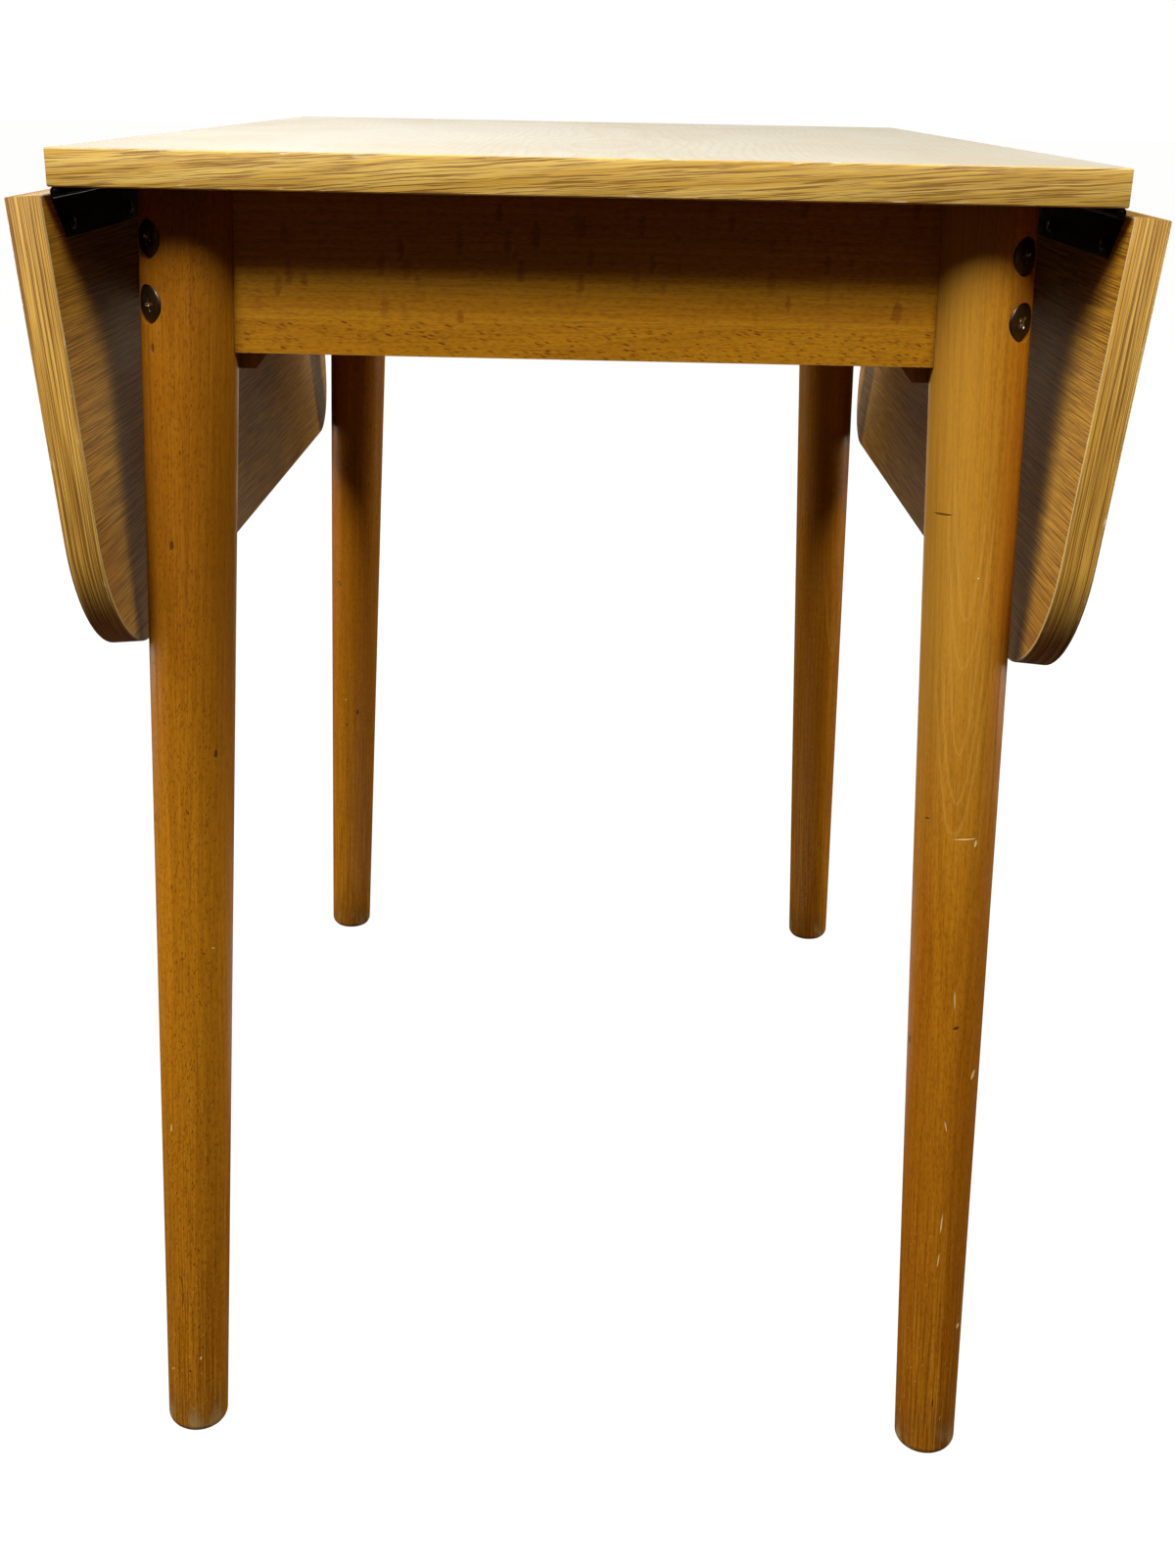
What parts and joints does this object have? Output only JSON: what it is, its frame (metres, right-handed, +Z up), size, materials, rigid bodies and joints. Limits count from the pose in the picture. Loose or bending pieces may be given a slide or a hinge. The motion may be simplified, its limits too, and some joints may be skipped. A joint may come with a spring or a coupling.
{
  "type": "drop-leaf table",
  "caption": "Free-standing drop-leaf table with splayed round legs, an oak-faced top, hinged leaves along both long sides and slide-out bars that hold the leaves up.",
  "frame": {"origin": "on the floor, under the middle of the top", "axes": "+X across the table towards the right leaf, +Y along the hinge lines away from the pictured end, +Z up"},
  "size_m": [0.5414, 0.74, 0.75],
  "materials": {
    "oak_face": "pale oak laminate, satin",
    "oak_back": "oak laminate, dull, amber brown",
    "oak_band": "oak edge band with worn pale arrises",
    "chipboard": "raw chipboard",
    "beech_leg": "amber lacquered beech, worn",
    "beech_rail": "amber lacquered beech",
    "beech_inner": "sawn beech",
    "bolt_steel": "nickelled steel, dulled",
    "plain_steel": "zinc plated steel",
    "hinge_steel": "black bronzed steel",
    "hinge_screw": "bronzed steel, heads rubbed bright"
  },
  "bodies": {
    "frame": {"top_core": "chipboard", "top_face_laminate": "oak_face", "top_back_laminate": "oak_back", "top_edge_band": "oak_band", "leg_front_left": "beech_leg", "corner_block_front_left": "beech_inner", "leg_front_right": "beech_leg", "corner_block_front_right": "beech_inner", "leg_rear_left": "beech_leg", "corner_block_rear_left": "beech_inner", "leg_rear_right": "beech_leg", "corner_block_rear_right": "beech_inner", "end_rail_front": "beech_rail", "loper_guide_front": "beech_inner", "end_rail_rear": "beech_rail", "loper_guide_rear": "beech_inner", "side_rail_left": "beech_rail", "side_rail_right": "beech_rail", "leg_bolts": "bolt_steel", "top_brackets": "plain_steel", "left_hinge_top_plate": "hinge_steel", "left_hinge_pin": "hinge_steel", "right_hinge_top_plate": "hinge_steel", "right_hinge_pin": "hinge_steel"},
    "left_leaf": {"left_leaf_core": "chipboard", "left_leaf_face_laminate": "oak_face", "left_leaf_back_laminate": "oak_back", "left_leaf_edge_band": "oak_band", "left_hinge_leaf_plate": "hinge_steel", "left_leaf_prop_blocks": "beech_inner"},
    "right_leaf": {"right_leaf_core": "chipboard", "right_leaf_face_laminate": "oak_face", "right_leaf_back_laminate": "oak_back", "right_leaf_edge_band": "oak_band", "right_hinge_leaf_plate": "hinge_steel", "right_leaf_prop_blocks": "beech_inner"},
    "left_front_loper": {"left_front_loper": "beech_inner", "left_front_loper_stop_pin": "beech_inner"},
    "left_rear_loper": {"left_rear_loper": "beech_inner", "left_rear_loper_stop_pin": "beech_inner"},
    "right_front_loper": {"right_front_loper": "beech_inner", "right_front_loper_stop_pin": "beech_inner"},
    "right_rear_loper": {"right_rear_loper": "beech_inner", "right_rear_loper_stop_pin": "beech_inner"}
  },
  "joints": [
    {"name": "left_leaf_hinge", "type": "hinge", "parent": "frame", "child": "left_leaf", "pos_m": [-0.2505, 0, 0.7296], "axis": [0, 1, 0], "range_deg": [0, 94.8]},
    {"name": "left_front_loper_slide", "type": "slide", "parent": "frame", "child": "left_front_loper", "axis": [-1, 0, 0], "range_m": [0, 0.083]},
    {"name": "left_rear_loper_slide", "type": "slide", "parent": "frame", "child": "left_rear_loper", "axis": [-1, 0, 0], "range_m": [0, 0.083]},
    {"name": "right_leaf_hinge", "type": "hinge", "parent": "frame", "child": "right_leaf", "pos_m": [0.2505, 0, 0.7296], "axis": [0, -1, 0], "range_deg": [0, 94.8]},
    {"name": "right_front_loper_slide", "type": "slide", "parent": "frame", "child": "right_front_loper", "axis": [1, 0, 0], "range_m": [0, 0.083]},
    {"name": "right_rear_loper_slide", "type": "slide", "parent": "frame", "child": "right_rear_loper", "axis": [1, 0, 0], "range_m": [0, 0.083]}
  ],
  "couplings": [
    {"joint": "left_front_loper_slide", "follows": "left_leaf_hinge", "m_per_rad": 0.050164},
    {"joint": "left_rear_loper_slide", "follows": "left_leaf_hinge", "m_per_rad": 0.050164},
    {"joint": "right_front_loper_slide", "follows": "right_leaf_hinge", "m_per_rad": 0.050164},
    {"joint": "right_rear_loper_slide", "follows": "right_leaf_hinge", "m_per_rad": 0.050164}
  ]
}
